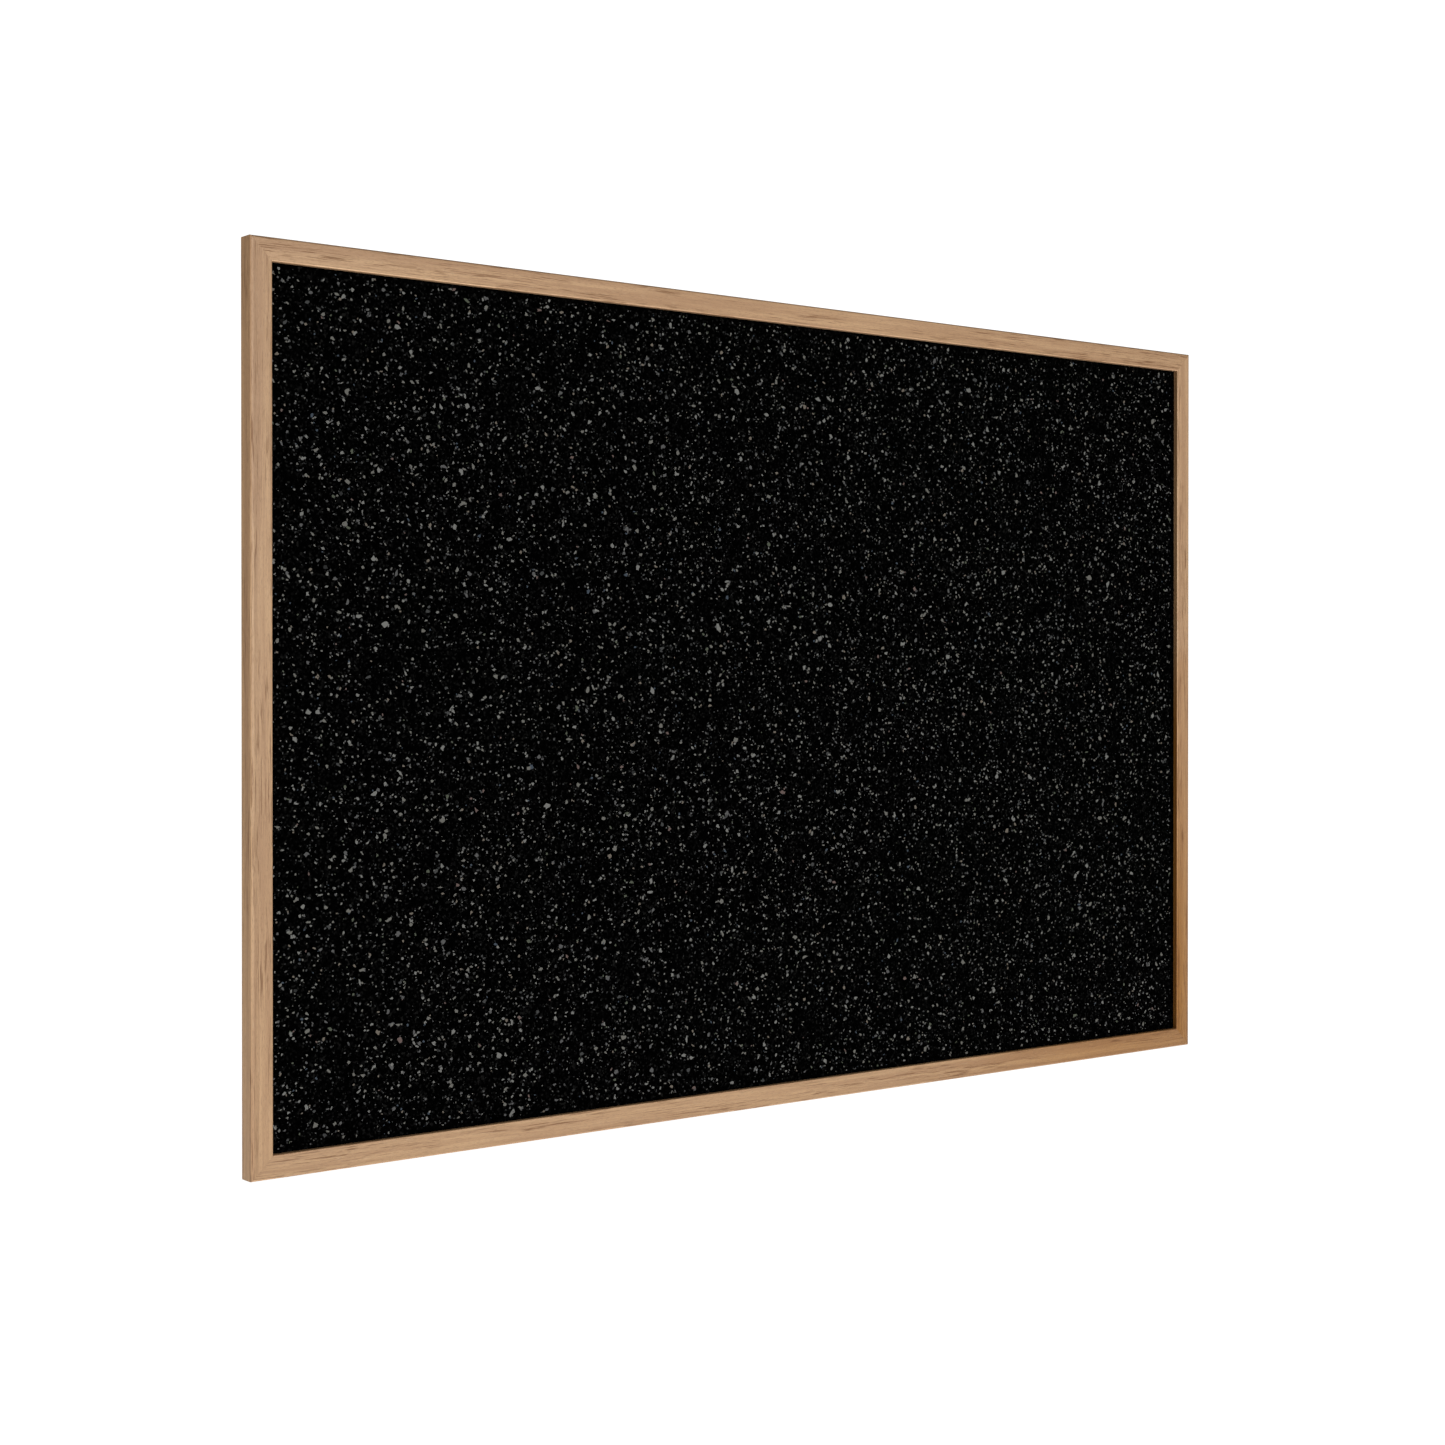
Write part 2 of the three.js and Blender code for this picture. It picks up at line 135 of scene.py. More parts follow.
cyclorama = bpy.data.worlds.new("white_cyclorama")
cyclorama.use_nodes = True
bpy.context.scene.world = cyclorama
sky = cyclorama.node_tree
sky.nodes.clear()
seen = add_node(sky, "ShaderNodeBackground", {"Color": srgb("#ffffff"), "Strength": 1.1})
# The fill comes from the walls and fades towards a dark ceiling.
height = add_node(
    sky, "ShaderNodeSeparateXYZ", {0: add_node(sky, "ShaderNodeTexCoord").outputs["Generated"]}
).outputs["Z"]
walls = add_node(
    sky, "ShaderNodeMapRange", {"Value": height, "From Max": 0.7, "To Min": 0.27, "To Max": 0.07}
)
fill = add_node(sky, "ShaderNodeBackground", {"Color": srgb("#fffdfa"), "Strength": walls.outputs[0]})
ray = add_node(sky, "ShaderNodeLightPath")
both = add_node(
    sky,
    "ShaderNodeMixShader",
    {0: ray.outputs["Is Camera Ray"], 1: fill.outputs[0], 2: seen.outputs[0]},
)
add_node(sky, "ShaderNodeOutputWorld", {"Surface": both.outputs[0]})

floor_half = 4.5
floor_in_front = 1.6
floor_drop = 1.3
floor_mesh = bpy.data.meshes.new("light_table_floor")
floor_corners = [(floor_half * x, floor_half * y, 0) for x, y in ((-1, -1), (1, -1), (1, 1), (-1, 1))]
floor_mesh.from_pydata(floor_corners, [], [(0, 1, 2, 3)])
floor = add_object("light_table_floor", floor_mesh)
floor.location = (middle.x, floor_half - floor_in_front, bottom_edge - floor_drop)
white_acrylic = bpy.data.materials.new("back_lit_white_acrylic")
white_acrylic.use_nodes = True
acrylic = white_acrylic.node_tree.nodes["Principled BSDF"]
acrylic.inputs["Base Color"].default_value = srgb("#f6f5f2")
acrylic.inputs["Roughness"].default_value = 0.6
acrylic.inputs["Emission Color"].default_value = srgb("#ffffff")
acrylic.inputs["Emission Strength"].default_value = 0.95
floor_mesh.materials.append(white_acrylic)
floor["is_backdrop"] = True

# ---------------------------------------------------------------- Oak frame
# Four lengths of one oak moulding, planed, sanded and mitred. The front arrises are rounded over,
# and the back is rebated for the panel and let in at the corners for the braces.

mm = 0.001
gap = 0.3 * mm
face_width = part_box("top_rail")[1][2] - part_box("top_rail")[0][2]
rebate_width = 9.5 * mm
land = face_width - rebate_width
lip_back = front + 8.2 * mm
outer_arris = 3 * mm
inner_arris = 2 * mm
back_arris = 0.4 * mm
arris_steps = 8
arris_angle = math.radians(38)
# The face is painted in two bands beside the outer arris, which carry on the arris's wear, painted highlight
# and painted shade.
near_arris_band = 2.6 * mm
far_arris_band = 9 * mm
hair = 0.01 * mm
brace_inset = 3 * mm
brace_width = 16 * mm
brace_arm = 76 * mm
brace_thickness = 2 * mm
brace_corner = 4 * mm


def arc(centre, radius, start, end, steps):
    """Points along a round stretch of an outline, with its angles in degrees."""
    angles = np.radians(np.linspace(start, end, steps + 1))
    return [(centre[0] + radius * math.cos(a), centre[1] + radius * math.sin(a)) for a in angles]


def skin(name, loops):
    """A smooth-shaded mesh over loops of equally many points, with a face over each end."""
    rows, around = len(loops), len(loops[0])
    points = [tuple(p) for loop in loops for p in loop]
    faces = []
    for i in range(rows - 1):
        here, there = i * around, (i + 1) * around
        for j in range(around):
            k = (j + 1) % around
            faces.append((here + j, here + k, there + k, there + j))
    faces.append(tuple(reversed(range(around))))
    faces.append(tuple(range((rows - 1) * around, rows * around)))
    mesh = bpy.data.meshes.new(name)
    mesh.from_pydata(points, [], faces)
    mesh.validate()
    return outward(mesh)


def outward(mesh):
    """Turns a closed mesh's faces outwards and shades it smooth between its arrises."""
    coordinates = np.array([v.co for v in mesh.vertices])
    mesh.calc_loop_triangles()
    corners = np.array([t.vertices for t in mesh.loop_triangles])
    a, b, c = (coordinates[corners[:, i]] for i in range(3))
    if np.einsum("ij,ij->i", a, np.cross(b, c)).sum() < 0:
        mesh.flip_normals()
    mesh.shade_smooth()
    mesh.set_sharp_from_angle(angle=arris_angle)
    return mesh


def cut(piece, cutters):
    """Cuts other meshes out of a piece's mesh, all of them given in the piece's own frame."""
    for cutter in cutters:
        tool = add_object("cutter", cutter)
        tool.matrix_world = piece.matrix_world
        work = piece.modifiers.new("cut", "BOOLEAN")
        work.operation = "DIFFERENCE"
        work.solver = "EXACT"
        work.object = tool
        bpy.context.view_layer.update()
        solid = piece.evaluated_get(bpy.context.evaluated_depsgraph_get())
        result = bpy.data.meshes.new_from_object(solid)
        piece.modifiers.clear()
        result.name = piece.data.name
        piece.data = result
        bpy.data.objects.remove(tool)
    outward(piece.data)


def moulding_section():
    """Round the moulding's section as (distance in from the outer edge, depth), back face at 0."""
    outer = (outer_arris, front + outer_arris)
    inner = (face_width - inner_arris, front + inner_arris)
    return [
        (0, -back_arris),
        *arc(outer, outer_arris, 180, 270, arris_steps),
        (outer_arris + near_arris_band, front),
        (outer_arris + far_arris_band, front),
        *arc(inner, inner_arris, 270, 360, arris_steps),
        (face_width, lip_back),
        (land, lip_back),
        (land, -back_arris),
        (land - back_arris, 0),
        (back_arris, 0),
    ]


def mitred_moulding(name, length):
    """One member along X, outer edge on Z = 0, each end drawn in by its distance from that edge."""
    spacing = 15 * mm
    joint_gap = 0.06 * mm
    stations = np.linspace(-1, 1, int(length / spacing))
    section = moulding_section()
    loops = [[(t * (length / 2 - u - joint_gap), y, -u) for u, y in section] for t in stations]
    return skin(name, loops)


def brace_outline(extra):
    """The corner brace seen from behind, arms along +X and -Z from the frame's outer corner."""
    near, far, end = brace_inset - extra, brace_inset + brace_width + extra, brace_arm + extra
    r = brace_corner + extra
    steps = 6
    return [
        *arc((near + r, -near - r), r, 180, 90, steps),
        *arc((end - r, -near - r), r, 90, 0, steps),
        *arc((end - r, -far + r), r, 0, -90, steps),
        (far, -far),
        *arc((far - r, -end + r), r, 0, -90, steps),
        *arc((near + r, -end + r), r, -90, -180, steps),
    ]


def housing(length, side):
    """The recess for a brace at one end of a member, as a mesh to cut away."""
    outline = [(side * (x - length / 2), z) for x, z in brace_outline(gap)]
    bed = -(brace_thickness + 2 * gap)
    clear = 2 * mm
    return skin("housing", [[(x, y, z) for x, z in outline] for y in (bed, clear)])


def placed(at, quarter_turns=0):
    """Where a piece goes that was made in its own frame and is turned about Y."""
    return Matrix.Translation(at) @ Matrix.Rotation(quarter_turns * math.pi / 2, 4, "Y")


def paint(mesh, name, values):
    """Keeps one number for each of a mesh's points, for its material to read."""
    mesh.attributes.new(name, "FLOAT", "POINT").data.foreach_set("value", np.asarray(values, np.float32))


def ease(value, low, high):
    """Rises smoothly from 0 to 1 while the value goes from low to high."""
    t = np.clip((value - low) / (high - low), 0, 1)
    return t * t * (3 - 2 * t)


def add_material(name):
    """A new material, its node tree and its principled shader."""
    made = bpy.data.materials.new(name)
    made.use_nodes = True
    return made, made.node_tree, made.node_tree.nodes["Principled BSDF"]


def oak(name, light, middle_tone, dark, pore, roughness, specular):
    """Flat-sawn oak: broad growth bands, dark streaks where the rings' open pores come to the
    surface, short single pores, and a few pale silky rays. Its grain runs along the piece's X."""
    material, tree, shader = add_material(name)
    place = add_node(tree, "ShaderNodeTexCoord").outputs["Object"]
    tree_place = add_node(tree, "ShaderNodeAttribute", attribute_name="log_place").outputs["Vector"]
    in_log = add_node(tree, "ShaderNodeVectorMath", {0: place, 1: tree_place}).outputs[0]

    # The grain wanders by about 2 mm over a hand's breadth.
    slow = add_node(tree, "ShaderNodeMapping", {"Vector": in_log, "Scale": (7, 20, 20)})
    wander = add_node(tree, "ShaderNodeTexNoise", {"Vector": slow.outputs[0], "Scale": 1, "Detail": 2})
    centred = add_node(
        tree, "ShaderNodeVectorMath", {0: wander.outputs["Color"], 1: (0.5, 0.5, 0.5)}, operation="SUBTRACT"
    )
    sideways = add_node(
        tree, "ShaderNodeVectorMath", {0: centred.outputs[0], 1: (0, 0.006, 0.006)}, operation="MULTIPLY"
    )
    grain = add_node(tree, "ShaderNodeVectorMath", {0: in_log, 1: sideways.outputs[0]}).outputs[0]

    # Noise drawn out along the grain: its size along and across in mm, its detail, and the levels
    # between which a streak comes in. The finest real pores are 0.2 mm across, drawn twice as wide.
    streaks = {}
    for kind, along, across, detail, low, high in (
        ("growth_bands", 500, 9, 2, 0.35, 0.65),
        ("growth_lines", 140, 2.1, 3, 0.38, 0.62),
        ("porous_patches", 200, 16, 1, 0.4, 0.56),
        ("ring_pores", 55, 1.3, 6, 0.52, 0.64),
        ("fine_pores", 7, 0.45, 3, 0.55, 0.64),
        ("silky_rays", 20, 2.2, 1, 0.66, 0.74),
    ):
        scale = (1 / (along * mm), 1 / (across * mm), 1 / (across * mm))
        stretched = add_node(tree, "ShaderNodeMapping", {"Vector": grain, "Scale": scale})
        noise = add_node(
            tree, "ShaderNodeTexNoise", {"Vector": stretched.outputs[0], "Scale": 1, "Detail": detail}
        )
        streaks[kind] = add_node(
            tree,
            "ShaderNodeMapRange",
            {"Value": noise.outputs[0], "From Min": low, "From Max": high},
            interpolation_type="SMOOTHSTEP",
        ).outputs[0]
    streaks["dark_streaks"] = add_node(
        tree,
        "ShaderNodeMath",
        {0: streaks["ring_pores"], 1: streaks["porous_patches"]},
        operation="MULTIPLY",
    ).outputs[0]

    colour = srgb(light)
    for kind, strength, code in (
        ("growth_bands", 0.7, middle_tone),
        ("growth_lines", 0.42, middle_tone),
        ("silky_rays", 0.25, "#d3b694"),
        ("dark_streaks", 0.85, dark),
        ("fine_pores", 0.38, pore),
    ):
        share = add_node(tree, "ShaderNodeMath", {0: streaks[kind], 1: strength}, operation="MULTIPLY")
        colour = add_node(
            tree, "ShaderNodeMix", {0: share.outputs[0], 6: colour, 7: srgb(code)}, data_type="RGBA"
        ).outputs[2]
    amber = add_node(tree, "ShaderNodeAttribute", attribute_name="amber").outputs["Fac"]
    colour = add_node(
        tree,
        "ShaderNodeMix",
        {0: amber, 6: colour, 7: srgb("#e1c076")},
        data_type="RGBA",
        blend_type="MULTIPLY",
    ).outputs[2]
    # Arrises painted lighter, for wear and painted highlight, turn paler as well, and those painted darker,
    # as painted shade, turn browner as well.
    worn_and_painted_light = add_node(tree, "ShaderNodeAttribute", attribute_name="arris").outputs["Fac"]
    lift = add_node(
        tree,
        "ShaderNodeVectorMath",
        {0: worn_and_painted_light, 1: (0.37, 0.41, 0.49), 2: (1, 1, 1)},
        operation="MULTIPLY_ADD",
    ).outputs[0]
    colour = add_node(
        tree, "ShaderNodeVectorMath", {0: colour, 1: lift}, operation="MULTIPLY"
    ).outputs[0]
    tree.links.new(colour, shader.inputs["Base Color"])

    sheen = add_node(
        tree,
        "ShaderNodeMapRange",
        {"Value": streaks["ring_pores"], "To Min": roughness, "To Max": roughness + 0.15},
    )
    tree.links.new(sheen.outputs[0], shader.inputs["Roughness"])
    shader.inputs["Specular IOR Level"].default_value = specular
    hollows = add_node(
        tree, "ShaderNodeMath", {0: streaks["ring_pores"], 1: streaks["fine_pores"]}, operation="ADD"
    )
    relief = add_node(
        tree,
        "ShaderNodeBump",
        {"Height": hollows.outputs[0], "Distance": 0.12 * mm, "Strength": 0.6},
        invert=True,
    )
    tree.links.new(relief.outputs[0], shader.inputs["Normal"])
    return material


# Sanded and lacquered, the oak looks warm and smooth, with a low satin sheen that the pores break.
lacquered_oak = oak("oak_sanded_and_lacquered", "#cba57e", "#b08967", "#805937", "#7d5a3c", 0.42, 0.45)
# Planed and left raw, it looks paler and chalky, with no sheen.
raw_oak = oak("oak_planed_and_left_raw", "#c9aa85", "#b99674", "#95724f", "#836243", 0.72, 0.3)

members = (
    ("top_rail", right_edge - left_edge, (middle.x, 0, top_edge), 0, (0, 0, 0)),
    ("right_stile", top_edge - bottom_edge, (right_edge, 0, middle.z), 1, (2.7, 0.11, 0.31)),
    ("bottom_rail", right_edge - left_edge, (middle.x, 0, bottom_edge), 2, (5.1, 0.23, 0.67)),
    ("left_stile", top_edge - bottom_edge, (left_edge, 0, middle.z), 3, (8.3, 0.37, 0.93)),
)
# How much lighter each member is painted, in order: all over, on its outer arris, on the face where that
# arris ends, a little further in, on its inner arris, and on its lip. All over, it is the timber's own tone.
# The lighter arrises are wear and painted highlight. The darker outer arrises of the top rail and right
# stile, the left stile's inner arris and the lips are painted shade.
arris_tones = {
    "top_rail": (0.08, -1.6, -0.1, 0, 1.5, -0.3),
    "right_stile": (0.12, -0.9, -0.1, 0, 0.9, -1.3),
    "bottom_rail": (-0.06, 0.1, -0.1, -0.1, 0.5, -0.6),
    "left_stile": (0, 0.7, 0.5, -0.3, -0.2, -0.9),
}
for name, length, place, quarter_turns, log_place in members:
    member = add_object(name + "_moulding", mitred_moulding(name + "_moulding", length))
    cut(member, [housing(length, 1), housing(length, -1)])
    member.matrix_world = placed(place, quarter_turns)

    mesh = member.data
    x, y, z = np.array([v.co for v in mesh.vertices]).T
    # The arrises that stand clear are painted lighter, as wear and painted highlight, and the face
    # beside them is banded lighter and darker. The outer arrises of the top rail and right stile and the
    # left stile's inner arris are painted darker, as painted shade.
    turned_out = np.arctan2(front + outer_arris - y, outer_arris + z)
    turned_in = np.arctan2(front + inner_arris - y, -z - face_width + inner_arris)
    on_outer = (-z < outer_arris) & (y < front + outer_arris)
    on_inner = (-z > face_width - inner_arris) & (y < front + inner_arris)
    on_face = (y < front + hair) & (-z > outer_arris - hair)
    own_tone, outer_tone, face_tone, band_tone, inner_tone, lip_tone = arris_tones[name]
    tone = on_outer * outer_tone * np.sin(2 * turned_out) ** 2
    steps_in = (outer_arris, outer_arris + near_arris_band, outer_arris + far_arris_band)
    tone = np.where(on_face, np.interp(-z, steps_in, (face_tone, band_tone, 0)), tone)
    rising = ease(turned_in, math.radians(35), math.radians(62))
    falling = 1 - ease(turned_in, math.radians(70), math.radians(90))
    tone += on_inner * (lip_tone * (1 - rising) + inner_tone * rising * falling)
    # The lip inside the rebate is painted darker as painted shade, most of all next to the front arris.
    on_lip = (-z > face_width - inner_arris) & (y > front + inner_arris - gap)
    deep = np.clip((y - front) / (lip_back - front), 0, 1)
    tone += own_tone + lip_tone * on_lip * (1.4 - 0.7 * deep)
    # The heart side of the timber is more golden: the lower half of the right stile, most of all
    # along its inner side, and the right-hand end of the bottom rail, which runs from right to left
    # in its own frame.
    along = x / length
    if name == "right_stile":
        golden = 0.22 * ease(along, -0.08, -0.05) + 0.5 * ease(along, -0.02, 0.42)
        golden = golden * (0.75 - 0.6 * z / face_width)
        lip_side = np.where(on_inner, 1 - rising, on_lip)
        golden += (ease(along, -0.1, 0.05) - golden) * lip_side
        tone -= 0.12 * ease(along, 0, 0.1)
        tone -= 0.5 * ease(along, 0.1, 0.35) * ease(-z / face_width, 0.25, 0.7) * (1 - lip_side)
    elif name == "bottom_rail":
        golden = 0.55 * ease(-along, 0.1, 0.4)
        tone -= 0.12 * ease(-along, 0.2, 0.3)
    else:
        golden = np.zeros(len(x))
    paint(mesh, "arris", tone)
    paint(mesh, "amber", golden)
    mesh.attributes.new("log_place", "FLOAT_VECTOR", "POINT").data.foreach_set(
        "vector", np.tile(np.array(log_place, np.float32), len(x))
    )

    mesh.materials.append(lacquered_oak)
    mesh.materials.append(raw_oak)
    for polygon in mesh.polygons:
        centre, normal = polygon.center, polygon.normal
        at_back = centre.y > -3 * mm and normal.y > 0.3
        in_rebate = centre.y > lip_back - gap and -centre.z > land - gap
        polygon.material_index = 1 if at_back or in_rebate else 0
    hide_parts(name)
    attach(member, "board")

# ---------------------------------------------------------------- V-nails
# A strip of spring steel folded to a right angle, driven into the back across each mitre and sunk
# under the brace. It pins the joint while the glue sets.


def plated_steel(name, light, dark, roughness, cloud, scratch):
    """Metal with a thin plated coat: soft clouds from the bath, and fine scratches from tumbling
    loose in the barrel. cloud is a cloud's size and scratch a scratch's length."""
    material, tree, shader = add_material(name)
    place = add_node(tree, "ShaderNodeTexCoord").outputs["Object"]
    clouds = add_node(tree, "ShaderNodeTexNoise", {"Vector": place, "Scale": 1 / cloud, "Detail": 3})
    tone = add_node(
        tree,
        "ShaderNodeMix",
        {0: clouds.outputs[0], 6: srgb(light), 7: srgb(dark)},
        data_type="RGBA",
    ).outputs[2]
    tree.links.new(tone, shader.inputs["Base Color"])
    fine = add_node(
        tree, "ShaderNodeMapping", {"Vector": place, "Scale": (1 / scratch, 14 / scratch, 14 / scratch)}
    )
    scratches = add_node(tree, "ShaderNodeTexNoise", {"Vector": fine.outputs[0], "Scale": 1, "Detail": 4})
    sheen = add_node(
        tree,
        "ShaderNodeMapRange",
        {
            "Value": scratches.outputs[0],
            "From Min": 0.3,
            "From Max": 0.7,
            "To Min": roughness - 0.08,
            "To Max": roughness + 0.12,
        },
    )
    tree.links.new(sheen.outputs[0], shader.inputs["Roughness"])
    relief = add_node(
        tree, "ShaderNodeBump", {"Height": scratches.outputs[0], "Distance": 0.02 * mm, "Strength": 0.5}
    )
    tree.links.new(relief.outputs[0], shader.inputs["Normal"])
    shader.inputs["Metallic"].default_value = 1
    return material


# Rolled and oiled, the strip looks blue-grey and satin, darker than the plated fittings.
spring_steel = plated_steel("spring_steel_strip_rolled_and_oiled", "#8b8e93", "#5f6268", 0.38, 9 * mm, 3 * mm)
for corner in ("top_left", "top_right", "bottom_right", "bottom_left"):
    v_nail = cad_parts[corner + "_v_nail"]
    v_nail.data.materials.clear()
    v_nail.data.materials.append(spring_steel)
    edges = v_nail.modifiers.new("rolled_edges", "BEVEL")
    edges.width = 0.15 * mm
    edges.segments = 2

# ---------------------------------------------------------------- Tack sheet
# Ground black rubber pressed with binder into a block and sliced into a 6 mm sheet. It is glued to
# the core, and its sawn edges are hidden in the frame's rebate.


def layer(name, low, high, edge, rough, seed):
    """One layer of the panel, its edges eased and its saw cut uneven by up to rough."""
    spacing = 12 * mm
    outline = []
    turns = [(low[0], low[2]), (high[0], low[2]), (high[0], high[2]), (low[0], high[2])]
    for (x0, z0), (x1, z1) in zip(turns, turns[1:] + turns[:1]):
        steps = int(math.dist((x0, z0), (x1, z1)) / spacing)
        outline += [(x0 + (x1 - x0) * i / steps, z0 + (z1 - z0) * i / steps) for i in range(steps)]
    x, z = np.array(outline).T
    saw = np.random.default_rng(seed).uniform(0, rough, len(x))
    loops = []
    for y, inset in ((low[1], edge), (low[1] + edge, 0), (high[1] - edge, 0), (high[1], edge)):
        d = inset + saw
        loops.append(
            [
                (px, y, pz)
                for px, pz in zip(np.clip(x, low[0] + d, high[0] - d), np.clip(z, low[2] + d, high[2] - d))
            ]
        )
    return skin(name, loops)


def granulate():
    """Matt near-black granules of slightly different blacks, with fine crevices between them."""
    material, tree, shader = add_material("rubber_granulate_bonded_and_sliced")
    place = add_node(tree, "ShaderNodeTexCoord").outputs["Object"]
    ragged = add_node(tree, "ShaderNodeTexNoise", {"Vector": place, "Scale": 700, "Detail": 1})
    drift = add_node(
        tree,
        "ShaderNodeVectorMath",
        {0: ragged.outputs["Color"], 1: (1.5 * mm, 1.5 * mm, 1.5 * mm)},
        operation="MULTIPLY",
    )
    ragged_place = add_node(tree, "ShaderNodeVectorMath", {0: place, 1: drift.outputs[0]}).outputs[0]
    size = 2.6 * mm
    granule = add_node(tree, "ShaderNodeTexVoronoi", {"Vector": ragged_place, "Scale": 1 / size})
    crevice = add_node(
        tree,
        "ShaderNodeTexVoronoi",
        {"Vector": ragged_place, "Scale": 1 / size},
        feature="DISTANCE_TO_EDGE",
    )
    shade = add_node(tree, "ShaderNodeSeparateColor", {"Color": granule.outputs["Color"]})
    tones = add_node(tree, "ShaderNodeValToRGB", {"Fac": shade.outputs[0]})
    ramp = tones.color_ramp
    ramp.elements[0].color = srgb("#010101")
    ramp.elements[1].position = 0.6
    ramp.elements[1].color = srgb("#010101")
    for position, code in ((0.8, "#040404"), (0.92, "#0d0d0d"), (1.0, "#181817")):
        ramp.elements.new(position).color = srgb(code)
    tree.links.new(tones.outputs[0], shader.inputs["Base Color"])
    relief = add_node(
        tree, "ShaderNodeBump", {"Height": crevice.outputs["Distance"], "Distance": 0.3 * mm, "Strength": 0.5}
    )
    tree.links.new(relief.outputs[0], shader.inputs["Normal"])
    shader.inputs["Roughness"].default_value = 1
    shader.inputs["Specular IOR Level"].default_value = 0.003
    return material


def take_over(name, mesh, node, material, body="board", place=Matrix.Identity(4)):
    """Puts a mesh in place of a CAD node, with its material and the body it rides on."""
    made = add_object(name, mesh)
    made.matrix_world = place
    if not mesh.materials:
        mesh.materials.append(material)
    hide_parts(node)
    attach(made, body)


sheet_low, sheet_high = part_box("tack_surface")
sheet = layer("tack_sheet", sheet_low, sheet_high, 0.3 * mm, 0.3 * mm, 3)
take_over("tack_sheet", sheet, "tack_surface", granulate())

# ---------------------------------------------------------------- Colour chips
# Chips of coloured synthetic rubber mixed into the granules and cut through by the slicing knife:
# angular, mostly 1 to 6 mm, and grey but for a few tan, olive, brick and slate ones. Each stands less
# than 0.1 mm proud of the softer rubber. A narrow band by the rails and right stile is left bare of
# chips, so that the black sheet there stands in for painted shade under their edges.

# Bands left without chips, as painted shade by the rails and the right stile.
shade_band_by_rails = 5 * mm
shade_band_by_right_stile = 8 * mm
chip_low = Vector((left_edge + face_width, 0, bottom_edge + face_width + shade_band_by_rails))
chip_high = Vector((right_edge - face_width - shade_band_by_right_stile, 0, top_edge - face_width - shade_band_by_rails))
chip_roots = 0.5 * mm


def add_chips(name, code, count, radius, spread, sides, seed):
    """Cut chips as closed solids: a ragged flat outline in front, coming to a point in the sheet."""
    # A chip lies within about 45 degrees of level, is about half as long again as it is wide, and is
    # at most three times its kind's usual size.
    chance = np.random.default_rng(seed)
    turn = chance.normal(0, 0.8, (count, 1))
    size = radius * np.exp(np.clip(chance.normal(0, spread, (count, 1)), -1.3, 1.1))
    stretch = 1 + chance.gamma(1.6, 0.28, (count, 1))
    corner = (np.arange(sides) + chance.uniform(-0.32, 0.32, (count, sides))) * 2 * np.pi / sides
    reach = size * chance.uniform(0.45, 1.2, (count, sides))
    along, across = reach * np.cos(corner) * np.sqrt(stretch), reach * np.sin(corner) / np.sqrt(stretch)
    centre = chance.uniform((chip_low.x, chip_low.z), (chip_high.x, chip_high.z), (count, 2))
    x = centre[:, :1] + along * np.cos(turn) - across * np.sin(turn)
    z = centre[:, 1:] + along * np.sin(turn) + across * np.cos(turn)
    x, z = np.clip(x, chip_low.x, chip_high.x), np.clip(z, chip_low.z, chip_high.z)
    proud = sheet_low[1] - chance.uniform(0.03, 0.09, (count, 1)) * mm

    points = np.empty((count, sides + 2, 3))
    points[:, :sides, 0], points[:, :sides, 1], points[:, :sides, 2] = x, proud, z
    points[:, sides] = np.stack([x.mean(1), proud[:, 0] - 0.01 * mm, z.mean(1)], 1)
    points[:, sides + 1] = np.stack([x.mean(1), np.full(count, sheet_low[1] + chip_roots), z.mean(1)], 1)
    this = np.arange(sides)
    following = (this + 1) % sides
    flat = np.stack([np.full(sides, sides), this, following], 1)
    root = np.stack([np.full(sides, sides + 1), following, this], 1)
    faces = (np.arange(count)[:, None, None] * (sides + 2) + np.concatenate([flat, root])).reshape(-1, 3)
    mesh = bpy.data.meshes.new(name)
    mesh.from_pydata(points.reshape(-1, 3), [], faces)
    mesh.shade_smooth()
    mesh.set_sharp_from_angle(angle=arris_angle)

    # Knife-cut coloured rubber looks flat and dry, a shade smoother than the torn granules round it.
    rubber = bpy.data.materials.new(name.replace("chips", "coloured_rubber_cut_by_the_knife"))
    rubber.use_nodes = True
    shader = rubber.node_tree.nodes["Principled BSDF"]
    shader.inputs["Base Color"].default_value = srgb(code)
    shader.inputs["Roughness"].default_value = 0.8
    shader.inputs["Specular IOR Level"].default_value = 0.2
    mesh.materials.append(rubber)
    chips = add_object(name, mesh)
    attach(chips, "board")


add_chips("pale_grey_chips", "#72726f", 3500, 1.7 * mm, 0.38, 8, 11)
add_chips("warm_grey_chips", "#676661", 4250, 1.55 * mm, 0.4, 8, 12)
add_chips("mid_grey_chips", "#535353", 4700, 1.4 * mm, 0.42, 8, 13)
add_chips("dark_grey_chips", "#3d3e3e", 5400, 1.22 * mm, 0.42, 7, 14)
add_chips("charcoal_chips", "#262727", 9000, 1.04 * mm, 0.4, 6, 15)
add_chips("tan_chips", "#6a635a", 700, 1.7 * mm, 0.36, 8, 16)
add_chips("olive_chips", "#4e5347", 500, 1.5 * mm, 0.36, 7, 17)
add_chips("brick_chips", "#635450", 180, 1.7 * mm, 0.36, 8, 18)
add_chips("slate_chips", "#3e4751", 560, 1.32 * mm, 0.36, 7, 19)

# ---------------------------------------------------------------- Core board
# A sheet of hardboard: wood fibre pressed hot until it is hard and brown, sawn to size. It keeps
# the rubber flat.


